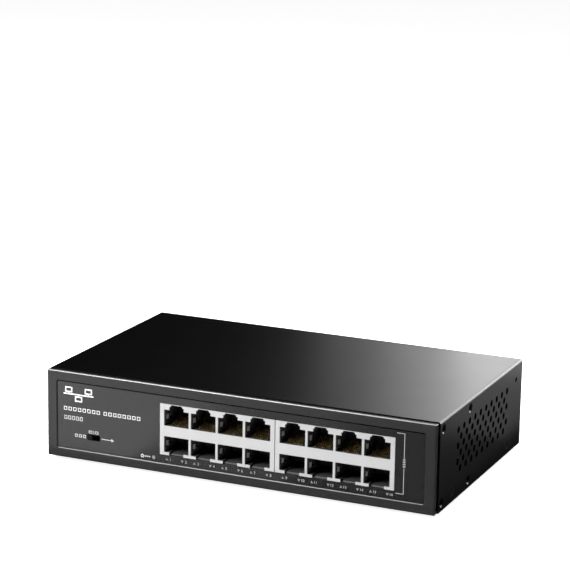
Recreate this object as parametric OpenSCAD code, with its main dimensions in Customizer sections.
// Desktop network switch: sixteen RJ45 sockets in a sheet steel case with its own mains supply.
// The origin is the middle of the footprint, on the surface that the feet stand on.
// X runs to the right, the front faces -Y and Z points up. All sizes are in millimetres.

/* [Case] */
// Width over the cover
case_w = 200; // [198:1:220]
// Depth from the face of the bezel to the rear wall
case_d = 121; // [119:1:140]
// Height of the bezel, which is flush with the top of the cover
case_h = 43.4; // [43.2:0.2:46]
// Thickness of the chassis and cover sheet
sheet = 0.8; // [0.7:0.1:1]
// Outer radius of the bends along the top edges of the cover
bend_r = 1.2; // [1.1:0.1:2]
// Height of the rubber feet
foot_h = 2; // [1.5:0.5:3]
// Diameter of the rubber feet
foot_d = 12; // [8:1:14]

/* [Front] */
// Width of the sunk front panel
panel_w = 189; // [188:1:191]
// Height of the sunk front panel
panel_h = 33.7; // [33:0.1:34]
// Depth of the sunk panel behind the face of the bezel
panel_sunk = 0.7; // [0.6:0.1:1]
// Depth of the bezel in front of the cover
bezel_d = 3.8; // [3.4:0.1:4.4]
// Radius of the front edges of the bezel
bezel_r = 0.9; // [0.5:0.1:0.9]
// Inset of the shadow gap behind the front lip of the bezel
bezel_neck = 0.7; // [0.3:0.1:0.8]

/* [Sockets] */
// Distance between neighbouring sockets
port_pitch = 14; // [13.97:0.01:14.05]
// Width of a plug opening in the steel shell
port_w = 12.9; // [12.6:0.1:13.1]
// Height of a plug opening without its latch notch
port_h = 7.9; // [7.6:0.1:7.9]
// Width of the latch notch
latch_w = 7.5; // [7:0.1:7.8]
// Depth that a plug goes in
port_depth = 14.5; // [13:0.1:15.5]
// Width of one block of two rows of four sockets
block_w = 59.2; // [59:0.1:59.4]
// Distance between the middles of the two blocks
block_pitch = 59.6; // [59.5:0.1:60]
// Middle of the left block, from the middle of the case
block_x = -9.6; // [-12:0.2:-9]

/* [Mode switch] */
// Middle of the slot, from the middle of the case
slot_x = -74.8; // [-80:0.2:-70]
// Travel of the knob between its end positions
knob_travel = 4; // [3:0.5:4]
// Width of the knob
knob_w = 2.6; // [2:0.1:2.8]

/* [Sides] */
// Distance between neighbouring vents along a row
vent_pitch = 7.75; // [7.5:0.05:8]
// Diameter of the vents
vent_d = 3.4; // [2.5:0.1:3.6]
// Spacing of the rack ear holes along the depth
ear_dy = 36; // [34:0.5:37]
// Spacing of the rack ear holes up the side
ear_dz = 35; // [34:0.5:35]
// Diameter of the threads for the rack ears
ear_d = 3; // [2.5:0.1:3.2]

/* [Hidden] */

eps = 0.01;
joint_gap = 0.05;                           // paint gap between fixed sheet parts
case_z0 = 0.6;                              // underside of the chassis above the bezel's lower edge
cover_z0 = 0.1;                             // lower edges of the cover's sides
rear_out = 2;                               // how far the inlet flange stands out at the back
front_y = -(case_d + rear_out) / 2;         // face of the bezel
panel_r = 1.2;                              // corner radius of the sunk panel
panel_edge = 0.25;                          // chamfer round its front edge
label_t = 0.3;
wall_y0 = panel_sunk + label_t;             // outer face of the chassis front wall
wall_y1 = wall_y0 + sheet;
wall_top = case_h - 1.6;                    // top edge of the chassis front wall
inner_x = case_w / 2 - sheet - joint_gap;   // outer face of the chassis side flanges
rear_y = case_d - sheet;                    // inner face of the rear wall
flange_h = 12;                              // height of the chassis side flanges
panel_z = 21.65;                            // middle height of the sunk panel

port_foot_z = [18.3, 23.48];                // mating edges of the lower and the upper openings
block_z = [9.05, 34.2];
block_y0 = panel_sunk - 0.05;
block_d = 26.2;
block_x_all = [block_x, block_x + block_pitch];
shield_t = 0.3;
cavity_w = port_w - 0.7;                    // width of the moulded cavities behind the openings
port_x = [for (k = [-1.5:1:1.5]) k * port_pitch];
tab_h = 2.4;                                // height of the earthing tabs
tab_z = [port_foot_z[0] - 5.2, port_foot_z[1] + 2.7];

board_z = [block_z[0] - 1.6, block_z[0]];   // underside and top of the main board
board_y = [4.6, 74];
supply_z = [7, 8.6];
supply_y = [78, 117];
supply_x = [-94, -8];

light_z = 6.9;
light_pitch = 14.6;                         // between neighbouring lights of one kind
light_pair = 8.2;                           // from an upper row light to its lower row neighbour
light_x_all = [block_x, block_x + 60];      // middles of the two groups of lights
power_light_x = -42.5;
slot_w = 7;
slot_h = 2.9;
slot_z = 11.85;
ear_y0 = 8.2;
ear_z0 = 4.2;
vent_y0 = 28.3;
vent_z0 = 33.1;
cover_screw_y = [21.9, 101.5];
cover_screw_z = 5.6;
main_screw_x = [-88, 88];
main_screw_y = [12, 68];
supply_screw_x = [-90, -12];
supply_screw_y = [82, 113];
inlet_x = -66;
inlet_z = 21.5;
inlet_pin_places = [[-7, -2.5], [7, -2.5], [0, 2.5]];
earth_x = -38;

// ---- helpers -------------------------------------------------------------------------------

// Moves a part drawn from the bezel's face and lower edge into the frame of the whole object
module place() translate([0, front_y, foot_h]) children();

// Block given by its ranges along the three axes
module block(x, y, z)
    translate([x[0], y[0], z[0]]) cube([x[1] - x[0], y[1] - y[0], z[1] - z[0]]);

// Extrudes a sketch drawn as (x, z) from depth y0 to depth y1
module along_y(y0, y1) translate([0, y1, 0]) rotate([90, 0, 0]) linear_extrude(y1 - y0) children();

// Extrudes a sketch drawn as (y, z) from x0 to x1
module along_x(x0, x1) translate([x0, 0, 0]) rotate([90, 0, 90]) linear_extrude(x1 - x0) children();

// Round bar or hole along the depth
module rod_y(x, z, y0, y1, d)
    translate([x, y0, z]) rotate([-90, 0, 0]) cylinder(h = y1 - y0, d = d, $fn = 48);

// Round bar or hole across the width
module rod_x(y, z, x0, x1, d)
    translate([x0, y, z]) rotate([0, 90, 0]) cylinder(h = x1 - x0, d = d, $fn = 48);

// Rectangle with round corners, about the origin
module round_rect(w, h, r) {
    square([w - 2 * r, h], center = true);
    square([w, h - 2 * r], center = true);
    for (x = [-1, 1], z = [-1, 1]) translate([x * (w / 2 - r), z * (h / 2 - r)]) circle(r, $fn = 48);
}

// Rectangle from the origin to (d, h) with its two corners on the second axis rounded
module front_rounded(d, h, r) {
    translate([r, 0]) square([d - r, h]);
    translate([0, r]) square([d, h - 2 * r]);
    for (z = [r, h - r]) translate([r, z]) circle(r, $fn = 48);
}

// Strip of thickness t along a path of (y, z) points
module strip(path, t) {
    for (i = [0 : len(path) - 2]) {
        run = path[i + 1] - path[i];
        translate(path[i]) rotate(atan2(run[1], run[0]))
            translate([-t / 2, -t / 2]) square([norm(run) + t, t]);
    }
}

// Repeats a part at each corner of a rectangle of places
module at_corners(xs, ys) for (x = xs, y = ys) translate([x, y, 0]) children();

// Pan head screw standing on z = 0, shank down, with a cross recess
module pan_screw(d, head_d, head_h, length) difference() {
    union() {
        cylinder(h = head_h * 0.55, d = head_d, $fn = 48);
        translate([0, 0, head_h * 0.55])
            cylinder(h = head_h * 0.45, d1 = head_d, d2 = head_d * 0.6, $fn = 48);
        translate([0, 0, -length]) cylinder(h = length + eps, d = d, $fn = 48);
    }
    for (a = [0, 90]) rotate(a) translate([-head_d * 0.27, -head_d * 0.06, head_h * 0.4])
        cube([head_d * 0.54, head_d * 0.12, head_h]);
}

// ---- case ----------------------------------------------------------------------------------

// Outline of the cover seen from the front, open below
module cover_outline(w, z1, r) {
    translate([-w / 2, case_z0 - 1]) square([w, z1 - case_z0 + 1 - r]);
    translate([-w / 2 + r, case_z0]) square([w - 2 * r, z1 - case_z0]);
    for (x = [-1, 1]) translate([x * (w / 2 - r), z1 - r]) circle(r, $fn = 48);
}

module vent_holes() for (row = [0:5]) {
    odd = row % 2;
    for (i = [0 : 9 - odd])
        rod_x(vent_y0 + (i + odd / 2) * vent_pitch, vent_z0 - row * vent_pitch / 2,
            -case_w / 2 - 1, case_w / 2 + 1, vent_d);
}

// Threaded ear hole in a dimple on the right side
module ear_hole(y, z) {
    rod_x(y, z, case_w / 2 - 3, case_w / 2 + 1, ear_d);
    translate([case_w / 2 - 0.5, y, z]) rotate([0, 90, 0])
        cylinder(h = 0.5 + eps, d1 = ear_d, d2 = ear_d + 1.6, $fn = 48);
}

// Conical seat or head of a cover screw, from x0 out to the face of the cover
module countersink(y, x0, d1, d2) translate([x0 - eps, y, cover_screw_z]) rotate([0, 90, 0])
    cylinder(h = case_w / 2 - x0 + 2 * eps, d1 = d1, d2 = d2, $fn = 48);

module top_cover() place() color([0.06, 0.06, 0.065]) difference() {
    union() {
        along_y(bezel_d, case_d) difference() {
            intersection() {
                cover_outline(case_w, case_h, bend_r);
                translate([-case_w, cover_z0]) square([2 * case_w, case_h]);
            }
            cover_outline(case_w - 2 * sheet, case_h - sheet, bend_r - sheet);
        }
        // drawn collars that hold the threads of the upper ear screws
        for (s = [0, 1]) mirror([s, 0, 0]) for (y = [ear_y0, ear_y0 + ear_dy])
            rod_x(y, ear_z0 + ear_dz, case_w / 2 - 1.6, case_w / 2 - sheet / 2, ear_d + 1.4);
    }
    vent_holes();
    for (s = [0, 1]) mirror([s, 0, 0]) {
        for (y = [ear_y0, ear_y0 + ear_dy], z = [ear_z0, ear_z0 + ear_dz]) ear_hole(y, z);
        rod_x(111.8, 35.2, case_w / 2 - 2, case_w / 2 + 1, 2.6);
        for (y = cover_screw_y) countersink(y, case_w / 2 - sheet, 3.3, 5.3);
    }
}

// Windows that the label and the chassis wall share, drawn as (x, z)
module front_windows(gap) {
    translate([block_x - block_w / 2 - gap, block_z[0] - gap])
        square([block_w + block_pitch + 2 * gap, block_z[1] - block_z[0] + 2 * gap]);
    translate([slot_x, slot_z]) round_rect(slot_w, slot_h, 0.4);
    port_lights() light_triangle(0.85);
    translate([power_light_x, light_z]) circle(d = 1.9, $fn = 48);
}

// Repeats a sketch at each port light, pointing up for the upper row and down for the lower row
module port_lights() for (x = light_x_all, k = [-1.5:1:1.5])
    for (row = [-1, 1]) translate([x + k * light_pitch + row * light_pair / 2, light_z])
        rotate(row < 0 ? 0 : 180) children();

module light_triangle(r) translate([0, -0.1]) rotate(90) circle(r, $fn = 3);

module bottom_chassis() place() color([0.42, 0.43, 0.44]) difference() {
    w = inner_x;
    union() {
        // floor, narrower between the bezel's skirts
        block([-w, w], [bezel_d + 0.4, case_d], [case_z0, case_z0 + sheet]);
        block([-w + 0.9, w - 0.9], [wall_y0 + sheet / 2, case_d], [case_z0, case_z0 + sheet]);
        // front wall and rear wall, each with its top flange
        block([-w + 0.9, w - 0.9], [wall_y0, wall_y1], [case_z0, wall_top]);
        block([-w + 0.9, w - 0.9], [wall_y0, 10], [wall_top - sheet, wall_top]);
        along_y(rear_y, case_d) intersection() {
            cover_outline(2 * w, case_h - sheet - joint_gap, bend_r - sheet);
            translate([-w, case_z0]) square([2 * w, case_h]);
        }
        block([-w + 2, w - 2], [rear_y - 7, case_d],
            [case_h - 2 * sheet - joint_gap, case_h - sheet - joint_gap]);
        for (s = [0, 1]) mirror([s, 0, 0]) {
            block([w - sheet, w], [bezel_d + 0.4, case_d], [case_z0, flange_h]);
            block([w - sheet, w], [bezel_d + 0.4, 14], [case_z0, wall_top - sheet / 2]);
            for (y = cover_screw_y) rod_x(y, cover_screw_z, w - 2.4, w - sheet / 2, 4.8);
            for (y = [ear_y0, ear_y0 + ear_dy]) rod_x(y, ear_z0, w - 2.4, w - sheet / 2, ear_d + 1.6);
        }
    }
    along_y(wall_y0 - 1, wall_y1 + eps) {
        front_windows(0.15);
        for (x = [-80, 0, 80], z = [2.6, 40.2]) translate([x, z]) square([6.4, 1.2], center = true);
    }
    for (s = [0, 1]) mirror([s, 0, 0]) {
        // the upper ear collars of the cover pass through clearance holes in the flanges
        for (y = [ear_y0, ear_y0 + ear_dy]) {
            rod_x(y, ear_z0 + ear_dz, w - 2, w + 1, ear_d + 2.4);
            rod_x(y, ear_z0, w - 3, w + 1, ear_d);
        }
        for (y = cover_screw_y) rod_x(y, cover_screw_z, w - 3, w + 1, 3);
    }
    // rear wall: mains inlet, earth stud, lock slot and two cover screws
    along_y(rear_y - 1, case_d + 1) {
        translate([inlet_x, inlet_z]) inlet_cutout(0.1);
        translate([-20, 30]) round_rect(7.2, 3.2, 0.8);
    }
    rod_y(earth_x, inlet_z, rear_y - 1, case_d + 1, 3.6);
    // hollows under the floor for the feet's pegs
    at_corners([-80, 80], [22, 105]) translate([0, 0, -1]) cylinder(h = 4, d = 4, $fn = 48);
}

module front_bezel() place() color([0.2, 0.2, 0.21]) {
    w = case_w - 0.6;
    neck_w = w - 2 * bezel_neck;
    difference() {
        union() {
            intersection() {
                along_y(0, wall_y0) translate([0, case_h / 2]) round_rect(w, case_h, 0.8);
                along_x(-w, w) front_rounded(bezel_d, case_h, bezel_r);
                translate([-w / 2, 0, -1]) linear_extrude(case_h + 2) rotate(90) mirror([0, 1])
                    front_rounded(bezel_d, w, bezel_r);
            }
            // skirt round the edges of the chassis wall
            along_y(wall_y0 - eps, bezel_d - 0.2) difference() {
                translate([-neck_w / 2, 0.2]) square([neck_w, case_h - 0.2 - bezel_neck]);
                translate([-inner_x + 0.85, case_z0 - 0.05])
                    square([2 * inner_x - 1.7, wall_top - case_z0 + 0.1]);
            }
            // lower lip, which reaches back under the chassis
            block([-w / 2 + 3, w / 2 - 3], [wall_y0 - eps, 6], [0.1, case_z0 - 0.05]);
            // stops that close the lower ends of the groove beside the skirt
            along_y(wall_y0 - eps, bezel_d - 0.1) intersection() {
                translate([0, case_h / 2]) round_rect(w - 0.1, case_h - 0.1, 0.8);
                for (s = [0, 1]) mirror([s, 0]) translate([neck_w / 2 - 0.5, 0])
                    square([bezel_neck + 1, 1.4]);
            }
            // snap lugs through the chassis wall
            for (x = [-80, 0, 80]) {
                along_x(x - 3, x + 3) lug(2.6);
                along_x(x - 3, x + 3) lug(40.2);
            }
        }
        along_y(-1, wall_y0 + 0.1) translate([0, panel_z]) round_rect(panel_w, panel_h, panel_r);
        panel_bevel();
    }
}

// Chamfer round the front edge of the sunk panel: four straight cuts and four cones
module panel_bevel() {
    c = panel_edge;
    x = panel_w / 2 - panel_r;
    z = panel_h / 2 - panel_r;
    for (s = [0, 1]) translate([0, 0, panel_z]) {
        mirror([0, 0, s]) along_x(-x, x)
            polygon([[-eps, z], [c, z], [c, z + panel_r], [-eps, z + panel_r + c + eps]]);
        mirror([s, 0, 0]) translate([0, 0, -z]) linear_extrude(2 * z)
            polygon([[x, -eps], [x, c], [x + panel_r, c], [x + panel_r + c + eps, -eps]]);
        for (t = [-1, 1]) mirror([0, 0, s]) translate([t * x, -eps, z]) rotate([-90, 0, 0])
            cylinder(h = c + eps, r1 = panel_r + c + eps, r2 = panel_r, $fn = 48);
    }
}

// Side view of one snap lug at height z
module lug(z) polygon([[wall_y0 - 0.1, z - 0.5], [wall_y1 + 1.2, z - 0.5], [wall_y1 + 1.2, z + 0.1],
    [wall_y1 + 0.3, z + 0.5], [wall_y0 - 0.1, z + 0.5]]);

module front_label() place() color([0.26, 0.26, 0.27]) along_y(panel_sunk, wall_y0) difference() {
    // the label stops a little short of the top of its recess
    translate([0, panel_z - 0.25]) round_rect(panel_w - 0.2, panel_h - 0.7, panel_r - 0.1);
    front_windows(0.1);
}

// ---- sockets -------------------------------------------------------------------------------

// Opening of width w drawn upwards from its mating edge, with the latch notch at the far side
module plug_outline(w) {
    translate([-w / 2, 0]) square([w, port_h]);
    translate([-latch_w / 2, 0]) square([latch_w, port_h + 1.6]);
    tip = latch_w / 2 - 0.7;
    polygon([[-tip, port_h], [tip, port_h], [tip, port_h + 2.1], [tip - 0.6, port_h + 2.6],
        [0.6 - tip, port_h + 2.6], [-tip, port_h + 2.1]]);
}

// All eight openings of a block, the lower row turned over
module plug_openings(w) for (x = port_x) {
    translate([x, port_foot_z[1]]) plug_outline(w);
    translate([x, port_foot_z[0]]) mirror([0, 1]) intersection() {
        plug_outline(w);
        translate([-w, 0]) square([2 * w, port_foot_z[0] - block_z[0] + 1]);
    }
}

// Formed steel shell round one block, with earthing tabs bent in at both sides of each opening
module jack_shield(x) place() translate([x, 0, 0]) color([0.86, 0.86, 0.86]) {
    w = block_w / 2;
    back = block_y0 + block_d;
    difference() {
        block([-w, w], [block_y0, back], block_z);
        block([-w + shield_t, w - shield_t], [block_y0 + shield_t, back - shield_t],
            [block_z[0] - 1, block_z[1] - shield_t]);
        along_y(block_y0 - 1, block_y0 + 1) plug_openings(port_w);
    }
    // bottom plate, bent in over the board and short of the contacts
    block([-w + shield_t / 2, w - shield_t / 2], [block_y0 + 1.2, 23.6],
        [block_z[0], block_z[0] + shield_t]);
    for (px = port_x, s = [0, 1], z = tab_z) translate([px, 0, z]) mirror([s, 0, 0])
        linear_extrude(tab_h) earthing_tab();
}

// Earthing tab in plan: it leaves the front plate beside the opening and bows into the cavity
module earthing_tab() translate([-port_w / 2, block_y0])
    polygon([[-0.3, 0.05], [-0.05, 0.05], [-0.05, 1.5], [0.95, 3],
        [0.4, 5], [0.2, 5], [0.68, 3.05], [-0.3, 1.7]]);

// Slot behind the cavity's side wall and window in that wall for one earthing tab
module tab_slot() {
    translate([-port_w / 2 - 0.35, 0]) square([0.35, 8]);
    translate([-port_w / 2 - 0.35, block_y0 + 1.7]) square([0.85, 6]);
}

// Moulded insert with eight cavities and a trough for the contacts of each
module jack_housing(x) place() translate([x, 0, 0]) color([0.05, 0.05, 0.05]) {
    w = block_w / 2 - shield_t - joint_gap;
    y0 = block_y0 + shield_t + joint_gap;
    z0 = block_z[0] + shield_t + joint_gap;
    difference() {
        block([-w, w], [y0, 24], [z0, block_z[1] - shield_t - joint_gap]);
        difference() {
            along_y(0, y0 + port_depth) plug_openings(cavity_w);
            // floor under the lower row, behind the bright edge of the shell's bottom plate
            block([-w, w], [3, 24], [z0 - 5, z0 + 0.3]);
        }
        for (px = port_x) {
            block([px - 4.6, px + 4.6], [2.6, 25], [port_foot_z[1] - 0.7, port_foot_z[1] + 0.2]);
            block([px - 4.6, px + 4.6], [2.6, 25], [port_foot_z[0] - 0.2, port_foot_z[0] + 0.7]);
            for (s = [0, 1], z = tab_z) translate([px, 0, z - 0.2]) mirror([s, 0, 0])
                linear_extrude(tab_h + 0.4) tab_slot();
        }
    }
}

// Eight sprung wires in each socket, from the trough to the board
module jack_contacts(x) place() translate([x, 0, 0]) color([0.85, 0.65, 0.2]) {
    up = port_foot_z[1];
    low = port_foot_z[0];
    for (px = port_x, k = [-3.5:1:3.5]) translate([px + k * 1.02, 0, 0]) {
        along_x(-0.22, 0.22) strip([[9.4, up + 3.1], [3.2, up - 0.15], [3.2, up - 0.4], [25.8, up - 0.4],
            [25.8, block_z[0] + 0.25]], 0.3);
        along_x(-0.22, 0.22) strip([[9.4, low - 3.1], [3.2, low + 0.15], [3.2, low + 0.4], [24.8, low + 0.4],
            [24.8, block_z[0] + 0.25]], 0.3);
    }
}

module left_jack_shield() jack_shield(block_x_all[0]);
module right_jack_shield() jack_shield(block_x_all[1]);
module left_jack_housing() jack_housing(block_x_all[0]);
module right_jack_housing() jack_housing(block_x_all[1]);
module left_jack_contacts() jack_contacts(block_x_all[0]);
module right_jack_contacts() jack_contacts(block_x_all[1]);

// ---- lights --------------------------------------------------------------------------------

// Light pipe foot that faces an LED under the front edge of the board
module pipe_foot(x) block([x - 1, x + 1], [wall_y1, 4.3], [5.5, 7.9]);

module port_light_pipes() place() color([0.75, 0.8, 0.78]) {
    along_y(panel_sunk, wall_y1 + eps) port_lights() light_triangle(0.8);
    for (x = light_x_all, k = [-1.5:1:1.5], row = [-1, 1])
        pipe_foot(x + k * light_pitch + row * light_pair / 2);
}

module power_light_pipe() place() color([0.75, 0.8, 0.78]) {
    rod_y(power_light_x, light_z, panel_sunk, wall_y1 + eps, 1.8);
    pipe_foot(power_light_x);
}

module led(x) block([x - 0.8, x + 0.8], [4.4, 5.6], [5.9, board_z[0]]);

module port_leds() place() color([0.9, 0.95, 0.7])
    for (x = light_x_all, k = [-1.5:1:1.5], row = [-1, 1]) led(x + k * light_pitch + row * light_pair / 2);

module power_led() place() color([0.9, 0.95, 0.7]) led(power_light_x);

// ---- mode switch ---------------------------------------------------------------------------

module mode_switch_knob() place() color([0.04, 0.04, 0.04]) translate([slot_x - knob_travel / 2, 0, 0]) {
    along_y(0.1, 5.2) translate([0, slot_z]) round_rect(knob_w, 2.2, 0.3);
    block([-1.9, 1.9], [4.4, 5.4], [slot_z - 1.6, slot_z + 1.6]);
}

module mode_switch_base() place() color([0.12, 0.12, 0.12]) difference() {
    block([slot_x - 5.8, slot_x + 5.8], [4, 9.6], [board_z[1], 14.6]);
    block([slot_x - 4.2, slot_x + 4.2], [3.8, 6], [slot_z - 1.9, slot_z + 1.9]);
}

// Tinned clip over the top and back of the switch
module mode_switch_frame() place() color([0.75, 0.76, 0.78]) difference() {
    block([slot_x - 6.2, slot_x + 6.2], [4.2, 10], [board_z[1], 15]);
    block([slot_x - 5.85, slot_x + 5.85], [4.1, 9.65], [board_z[1] - 1, 14.65]);
}

// ---- main board ----------------------------------------------------------------------------

module main_board() place() color([0.05, 0.3, 0.15]) difference() {
    block([-94, 94], board_y, board_z);
    at_corners(main_screw_x, main_screw_y) translate([0, 0, board_z[0] - 1])
        cylinder(h = 4, d = 3.4, $fn = 48);
}

module switch_chip() place() color([0.08, 0.08, 0.08])
    block([8, 32], [46, 70], [board_z[1], board_z[1] + 1.6]);

module thermal_pad() place() color([0.5, 0.6, 0.7])
    block([9, 31], [47, 69], [board_z[1] + 1.6, board_z[1] + 2.4]);

module heatsink() place() color([0.1, 0.1, 0.11]) {
    z0 = board_z[1] + 2.4;
    block([2, 38], [43.5, 72.5], [z0, z0 + 3]);
    for (i = [0:8]) block([2 + i * 4.3, 3.6 + i * 4.3], [43.5, 72.5], [z0 + 3 - eps, z0 + 15]);
}

module lan_transformers() place() color([0.09, 0.09, 0.1]) for (i = [0:7]) {
    x = block_x - 28 + i * 16.6;
    block([x - 7, x + 7], [30, 40], [board_z[1] + 0.3, board_z[1] + 6.2]);
    for (k = [0:7], s = [0, 1]) translate([x - 5.6 + k * 1.6, 30 + s * 10, board_z[1]])
        block([-0.25, 0.25], [s - 1, s], [0, 0.9]);
}

module flash_chip() place() color([0.08, 0.08, 0.08])
    block([50, 55.2], [56, 61], [board_z[1], board_z[1] + 1.8]);

module crystal() place() color([0.8, 0.8, 0.8]) translate([48, 50, board_z[1]]) {
    linear_extrude(3.4) round_rect(11, 4.6, 2.2);
    linear_extrude(0.5) round_rect(11.6, 5.2, 2.5);
}

module board_inductors() place() color([0.15, 0.15, 0.16])
    for (x = [-30, -20, -10]) translate([x, 62, board_z[1]])
        linear_extrude(4) round_rect(7, 7, 1);

module board_capacitors() place() color([0.2, 0.25, 0.35])
    for (x = [-60, -50, -40]) translate([x, 62, board_z[1]]) {
        cylinder(h = 0.8, d = 8.6, $fn = 48);
        cylinder(h = 11, d = 8, $fn = 48);
    }

module power_connector() place() color([0.9, 0.9, 0.86]) difference() {
    block([-80, -72], [64, 70], [board_z[1], board_z[1] + 7]);
    block([-79.2, -72.8], [64.8, 69.2], [board_z[1] + 1, board_z[1] + 8]);
}

module standoff(z1) difference() {
    translate([0, 0, case_z0 + sheet]) cylinder(h = z1 - case_z0 - sheet, d = 6, $fn = 6);
    translate([0, 0, case_z0 + sheet - 1]) cylinder(h = 10, d = 3, $fn = 48);
}

module board_standoffs() place() color([0.8, 0.7, 0.35])
    at_corners(main_screw_x, main_screw_y) standoff(board_z[0]);

module board_screws() place() color([0.75, 0.75, 0.77]) at_corners(main_screw_x, main_screw_y)
    translate([0, 0, board_z[1]]) pan_screw(2.9, 5.6, 2.1, 5);

// ---- mains supply --------------------------------------------------------------------------

module supply_board() place() color([0.55, 0.42, 0.18]) difference() {
    block(supply_x, supply_y, supply_z);
    at_corners(supply_screw_x, supply_screw_y) translate([0, 0, supply_z[0] - 1])
        cylinder(h = 4, d = 3.4, $fn = 48);
}

// Insulating sheet under the supply, turned up behind the rear of the main board
module insulation_sheet() place() color([0.93, 0.93, 0.9]) difference() {
    union() {
        block([-95, -5], [76.4, 118.4], [2.2, 2.5]);
        block([-95, -5], [76.4, 76.7], [2.2, 26]);
    }
    at_corners(supply_screw_x, supply_screw_y) cylinder(h = 4, d = 7.4, $fn = 48);
}

module supply_transformer_core() place() color([0.2, 0.2, 0.21]) difference() {
    block([-52, -32], [86, 106], [supply_z[1] + 1, supply_z[1] + 19]);
    block([-53, -31], [90, 102], [supply_z[1] + 4.5, supply_z[1] + 15.5]);
}

module supply_transformer_winding() place() color([0.9, 0.78, 0.2]) {
    block([-54, -30], [90.1, 101.9], [supply_z[1] + 4.6, supply_z[1] + 15.4]);
    for (x = [-54.8, -30]) block([x, x + 0.8], [87, 105], [supply_z[1], supply_z[1] + 18]);
}

module mains_capacitor() place() color([0.1, 0.12, 0.25]) translate([-65, 88, supply_z[1]])
    cylinder(h = 24, d = 15, $fn = 48);

module output_capacitors() place() color([0.12, 0.3, 0.2])
    for (y = [88, 100]) translate([-20, y, supply_z[1]])
        cylinder(h = 18, d = 9, $fn = 48);

module mains_choke() place() color([0.75, 0.42, 0.2]) translate([-84, 96, supply_z[1]]) {
    linear_extrude(2) round_rect(13, 13, 1);
    translate([0, 0, 9.5]) rotate([90, 0, 0])
        rotate_extrude($fn = 48) translate([5, 0]) circle(2.6, $fn = 32);
}

module mains_fuse() place() color([0.85, 0.85, 0.8]) rod_x(101.6, supply_z[1] + 3, -74, -56, 5.2);

module bridge_rectifier() place() color([0.1, 0.1, 0.1])
    block([-86, -76], [79.6, 83], [supply_z[1], supply_z[1] + 11]);

module supply_controller() place() color([0.1, 0.1, 0.1])
    block([-46, -36], [79.4, 83.4], [supply_z[1], supply_z[1] + 3.6]);

module supply_standoffs() place() color([0.8, 0.7, 0.35])
    at_corners(supply_screw_x, supply_screw_y) standoff(supply_z[0]);

module supply_screws() place() color([0.75, 0.75, 0.77]) at_corners(supply_screw_x, supply_screw_y)
    translate([0, 0, supply_z[1]]) pan_screw(2.9, 5.6, 2.1, 5);

// Path of a wire as round bars with ball joints at the corners
module wire(path, d) for (i = [0 : len(path) - 2]) {
    run = path[i + 1] - path[i];
    translate(path[i]) {
        rotate([0, acos(run[2] / norm(run)), atan2(run[1], run[0])])
            cylinder(h = norm(run), d = d, $fn = 24);
        sphere(d = 1.04 * d, $fn = 24);
    }
    if (i == len(path) - 2) translate(path[i + 1]) sphere(d = 1.04 * d, $fn = 24);
}

module output_cable() place() color([0.75, 0.1, 0.08]) for (i = [0:1]) {
    x = -77.5 + i * 3;
    wire([[-14, 100 + i * 4, supply_z[1] + 0.8], [-14, 100 + i * 4, 30 + i * 2], [x, 72 + i, 30 + i * 2],
        [x, 67, 26 + i], [x, 67, board_z[1] + 1.9]], 1.6);
}

// ---- mains inlet and earth -----------------------------------------------------------------

// Outline of the inlet's opening: a rectangle with its two lower corners cut
module inlet_shape(w, h, cut) polygon([[-w / 2, h / 2], [w / 2, h / 2], [w / 2, cut - h / 2],
    [w / 2 - cut, -h / 2], [cut - w / 2, -h / 2], [-w / 2, cut - h / 2]]);

module inlet_cutout(gap) square([27 + 2 * gap, 20 + 2 * gap], center = true);

module inlet_body() place() color([0.05, 0.05, 0.05]) difference() {
    union() {
        along_y(case_d, case_d + rear_out) translate([inlet_x, inlet_z]) round_rect(31, 24.4, 2.5);
        along_y(case_d - 15.5, case_d + eps) translate([inlet_x, inlet_z]) inlet_cutout(0);
    }
    along_y(case_d - 14, case_d + rear_out + 1) translate([inlet_x, inlet_z]) inlet_shape(24.2, 16.6, 4);
    for (p = inlet_pin_places) translate([inlet_x + p[0], case_d - 17, inlet_z + p[1]])
        cube([2, 8, 4], center = true);
}

module inlet_pins() place() color([0.8, 0.8, 0.78]) for (p = inlet_pin_places)
    translate([inlet_x + p[0], case_d - 11, inlet_z + p[1]]) cube([1.96, 20, 3.96], center = true);

module inlet_wires() place() color([0.25, 0.2, 0.2]) for (s = [-1, 1]) {
    x = inlet_x + s * 7;
    wire([[x, case_d - 21.9, inlet_z - 2.5], [x, case_d - 24, inlet_z - 5],
        [x, case_d - 24, supply_z[1] + 0.9]], 1.8);
}

module earth_wire() place() color([0.3, 0.65, 0.2]) {
    wire([[inlet_x, case_d - 22, inlet_z + 2.5], [inlet_x, case_d - 24, inlet_z + 13],
        [earth_x, case_d - 8, inlet_z + 13],
        [earth_x, rear_y - 1.6, inlet_z + 4.6]], 1.8);
    // ring terminal under the earth nut
    along_y(rear_y - 0.9, rear_y - 0.05) translate([earth_x, inlet_z]) difference() {
        union() {
            circle(d = 7.6, $fn = 48);
            translate([-1.2, 2]) square([2.4, 4]);
        }
        circle(d = 3.4, $fn = 48);
    }
    rod_y(earth_x, inlet_z + 4.9, rear_y - 1.9, rear_y - 0.4, 2.2);
}

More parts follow.
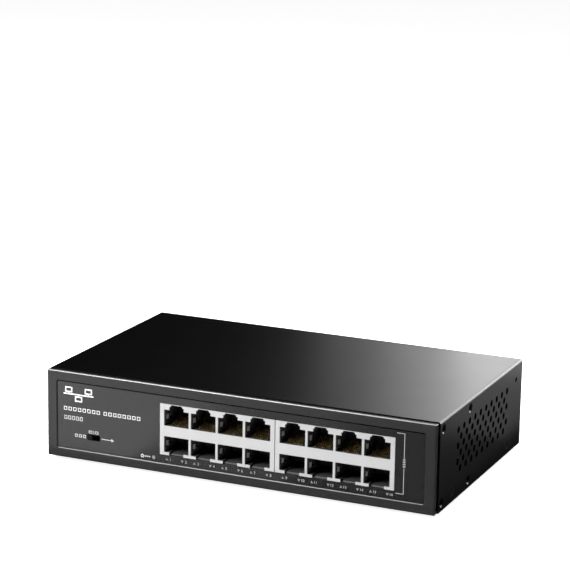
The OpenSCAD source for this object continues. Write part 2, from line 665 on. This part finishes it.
module earth_screw() place() color([0.75, 0.75, 0.77]) {
    translate([earth_x, case_d, inlet_z]) rotate([-90, 0, 0]) pan_screw(3.3, 6.4, 1.9, 6);
    translate([earth_x, rear_y - 3.4, inlet_z]) rotate([-90, 0, 0]) difference() {
        cylinder(h = 2.4, d = 6.2, $fn = 6);
        translate([0, 0, -1]) cylinder(h = 5, d = 3.36, $fn = 48);
    }
}

// ---- fasteners and feet --------------------------------------------------------------------

// Flat head screws that hold the cover to the flanges of the chassis
module cover_screws() place() color([0.05, 0.05, 0.05]) for (s = [0, 1]) mirror([s, 0, 0])
    for (y = cover_screw_y) translate([inner_x, y, cover_screw_z]) rotate([0, 90, 0]) difference() {
        union() {
            cylinder(h = case_w / 2 - inner_x, d1 = 3.2, d2 = 5.2, $fn = 48);
            translate([0, 0, -4]) cylinder(h = 4 + eps, d = 2.96, $fn = 48);
        }
        for (a = [45, 135]) rotate(a) translate([-1.5, -0.3, 0.3]) cube([3, 0.6, 2]);
    }

module rubber_feet() color([0.03, 0.03, 0.03]) at_corners([-80, 80], [front_y + 22, front_y + 105]) {
    cylinder(h = foot_h + case_z0, d = foot_d, $fn = 48);
    translate([0, 0, foot_h + case_z0 - eps]) cylinder(h = 1.4, d = 3.9, $fn = 48);
}

top_cover();
bottom_chassis();
front_bezel();
front_label();
left_jack_shield();
right_jack_shield();
left_jack_housing();
right_jack_housing();
left_jack_contacts();
right_jack_contacts();
port_light_pipes();
power_light_pipe();
port_leds();
power_led();
mode_switch_knob();
mode_switch_base();
mode_switch_frame();
main_board();
switch_chip();
thermal_pad();
heatsink();
lan_transformers();
flash_chip();
crystal();
board_inductors();
board_capacitors();
power_connector();
board_standoffs();
board_screws();
supply_board();
insulation_sheet();
supply_transformer_core();
supply_transformer_winding();
mains_capacitor();
output_capacitors();
mains_choke();
mains_fuse();
bridge_rectifier();
supply_controller();
supply_standoffs();
supply_screws();
output_cable();
inlet_body();
inlet_pins();
inlet_wires();
earth_wire();
earth_screw();
cover_screws();
rubber_feet();
